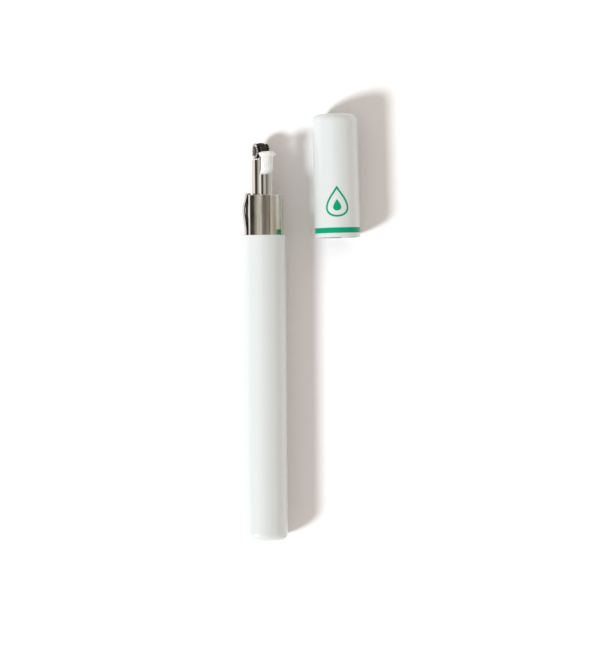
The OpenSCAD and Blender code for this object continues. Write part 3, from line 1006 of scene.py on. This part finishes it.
def fibres(mouth, top, bundled):
    """Loose ends: fine tapered hairs along the wick, at its waist, and in its tufts and top."""
    bm, wear = blank()

    def hair(start, way, length, thick, droop):
        side = way.orthogonal().normalized()
        other = way.cross(side)
        curl = (side * RNG.uniform(-1, 1) + other * RNG.uniform(-1, 1)) * droop
        rings = []
        for t in (0, 0.25, 0.5, 0.75, 1):
            centre = start + way * length * t + curl * length * t * t
            r = thick * (1 - 0.85 * t)
            ring = [bm.verts.new(centre + side * r * cos(a) + other * r * sin(a))
                    for a in (tau * s / 4 for s in range(4))]
            for vert in ring:
                vert[wear] = 1.0
            rings.append(ring)
        skin(bm, rings, ends=True)

    def surface(angle, height, sink):
        """A point that lies that deep below the wick's side."""
        return ring_point(bundled(WICK_R, angle, height, 1.0)[0] - sink, angle, height)

    for towards, at, _, spread, _ in TUFTS:           # pointed ends of the tufts
        for _ in range(26):
            a = radians(towards + RNG.gauss(0, spread / 3))
            out = ring_point(1, a)
            start = surface(a, top - at + RNG.uniform(-0.3, 0.3), 0.12)
            way = (out + UP * RNG.uniform(-0.1, 0.7)).normalized()
            hair(start, way, RNG.uniform(0.18, 0.3), 0.05, 0.2)
    for _ in range(260):                              # short ends on the top face
        a = RNG.uniform(0, tau)
        r = 1.35 * sqrt(RNG.random())
        way = (ring_point(r * 0.3, a) + UP).normalized()
        hair(ring_point(r, a, top - 0.4), way, RNG.uniform(0.15, 0.38), 0.045, 0.3)
    for _ in range(110):                              # hairs that have come loose along the side
        a = RNG.uniform(0, tau)
        y = RNG.uniform(mouth + 0.1, top - 0.8)
        way = (RNG.choice((-1, 1)) * UP + ring_point(1, a) * RNG.uniform(0.02, 0.1)).normalized()
        hair(surface(a, y, 0.03), way, RNG.uniform(0.4, 1.1), 0.028, 0.06)
    for _ in range(70):                               # frayed ends over the tube's mouth
        a = RNG.uniform(0, tau)
        way = (ring_point(1, a) * RNG.uniform(0.3, 0.8) + UP * RNG.uniform(-0.8, 0.3)).normalized()
        hair(surface(a, mouth + RNG.uniform(0.1, 0.4), 0.04), way, RNG.uniform(0.15, 0.3), 0.035, 0.2)
    for vert in bm.verts:
        vert.co.y = min(vert.co.y, top)
    leaned(bm, mouth)
    piece("wick_hairs", bm, WICK_WHITE, "wick", "wick_fibre", place=WICK_PLACE, sharp=180)


def tank_filling():
    """The felt that closes the tank and the cotton that fills it, each with its holes for the tubes."""
    def plug(node, bend, segments, *holes):
        """A round solid that fills its CAD node, with holes (radius, place) right through it."""
        low, high = reach(node)
        outline = dense(rounded(rod(high.x, low.y, high.y, bend, bend), 3), bend)
        cutters = [shaft(r, low.y - 1, high.y + 1, place) for r, place in holes]
        return carved(lathe(outline, segments), cut=cutters)

    solid = plug("felt_pad", 0.4, 128, (FLINT_TUBE_R + 0.1, HOLDER_PLACE))
    felt = piece("felt_disc", fuzzed(solid, 0.09, 0.45, 2), FELT, "insert", "felt", "felt_pad")
    solid = plug("fuel_wadding", 0.6, FINE, (FLINT_TUBE_R + 0.2, HOLDER_PLACE),
                 (WICK_BORE_R, WICK_PLACE))
    cotton = piece("cotton_wadding", fuzzed(solid, 0.14, 0.9, 3), COTTON, "insert", "cotton",
                   "fuel_wadding")


# --- floor, light and camera
def floor_material():
    paint = Paint("pale paper", {"Roughness": 0.8})
    tint = paint.mix(paint.grain(0.02), (0.795, 0.782, 0.778), (0.785, 0.772, 0.768))
    return paint.use(tint)


def lamp(name, energy):
    """A round lamp at the upper left of the closed end, far enough away to light the table evenly."""
    towards = Vector((-1.04, -0.59, 1.0)).normalized()
    distance = 3.0
    data = bpy.data.lights.new(name, "AREA")
    data.shape = "DISK"
    data.size = 0.62
    data.energy = energy
    data.color = (0.93, 1.0, 1.06)
    made = new_object(name, data)
    made.location = towards * distance + Vector((0, SHOULDER * MM / 2, 0))
    made.rotation_euler = towards.to_track_quat("Z", "Y").to_euler()
    return made


def studio():
    """A pale table under a soft dome, with a lamp and a second one like it that lights only the table.

    The dome's darker and lighter panels show only in reflections.
    """
    half = 2.5
    corners = [(-half, -half, 0), (half, -half, 0), (half, half, 0), (-half, half, 0)]
    mesh = bpy.data.meshes.new("table")
    mesh.from_pydata(corners, [], [(0, 1, 2, 3)])
    mesh.materials.append(floor_material())
    table = new_object("table", mesh)
    table.location.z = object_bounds()[0][2]
    table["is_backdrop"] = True

    shown_on = bpy.data.collections.new("table only")
    shown_on.objects.link(table)
    lamp("round lamp", 57.0)
    lamp("table lamp", 45.0).light_linking.receiver_collection = shown_on

    world = bpy.data.worlds.new("studio")
    bpy.context.scene.world = world
    world.use_nodes = True
    tree = world.node_tree
    tree.nodes.clear()

    node = partial(add_node, tree)
    direction = node("SeparateXYZ", {0: node("TexCoord", {}).outputs["Generated"]})
    angle = node("Math", {0: direction.outputs["X"], 1: direction.outputs["Z"]}, operation="ARCTAN2")
    share = node("Math", {0: angle.outputs[0], 1: 1 / pi, 2: 0.5}, operation="MULTIPLY_ADD")
    ramp = node("ValToRGB", {0: share.outputs[0]})
    # Edges of the panels: degrees from straight up, towards the right, and brightness
    panels = [(-90, 0.95), (-80.5, 0.9), (-79, 0.05), (-50, 0.06), (-46, 0.34), (-38, 0.42), (-30, 0.72),
              (-9, 0.74), (-4, 0.42), (2, 0.26), (8, 0.21), (18, 0.25), (24, 0.33), (34, 0.36),
              (39, 0.24), (42, 0.27), (46, 0.8), (51, 0.78), (56, 0.66), (60, 0.6), (70, 0.48),
              (80, 0.56), (90, 0.7)]
    stops = ramp.color_ramp.elements
    while len(stops) < len(panels):
        stops.new(1.0)
    for stop, (edge, level) in zip(stops, panels):
        stop.position = edge / 180 + 0.5
        stop.color = (level, level * 0.97, level * 0.93, 1)
    path = node("LightPath", {})
    dome = node("Background", {"Color": (1.09, 1.0, 0.93, 1), "Strength": 0.69})
    mirror = node("Background", {"Color": ramp.outputs[0]})
    plain = node("Background", {"Color": (1, 1, 1, 1)})
    lit = node("MixShader", {0: path.outputs["Is Glossy Ray"], 1: dome.outputs[0], 2: mirror.outputs[0]})
    seen = node("MixShader", {0: path.outputs["Is Camera Ray"], 1: lit.outputs[0], 2: plain.outputs[0]})
    node("OutputWorld", {"Surface": seen.outputs[0]})
    bpy.context.scene.view_settings.view_transform = "Standard"


def camera():
    """Straight above the lighter, far enough away to see it almost without perspective."""
    data = bpy.data.cameras.new("camera")
    data.lens = 228.9
    data.clip_end = 10
    view = new_object("camera", data)
    view.location = (0.00834, 0.04939, 0.95)
    view.rotation_euler = (0, 0, radians(-0.48))
    bpy.context.scene.camera = view


camera()
studio()
barrel_and_cap()
collar()
solder_fillet("solder_wick_tube", WICK_TUBE_R, WICK_PLACE)
solder_fillet("solder_carrier", HOLDER_R, HOLDER_PLACE)
tubes()
wheel_carrier()
grip_leaf()
knurled_wheel()
toothed_disc("toothed_disc_left", "thumb_wheel_left", 1)
toothed_disc("toothed_disc_right", "thumb_wheel_right", -1)
axle_pin()
flint_parts()
wick_bundle()
tank_filling()

bpy.context.view_layer.update()
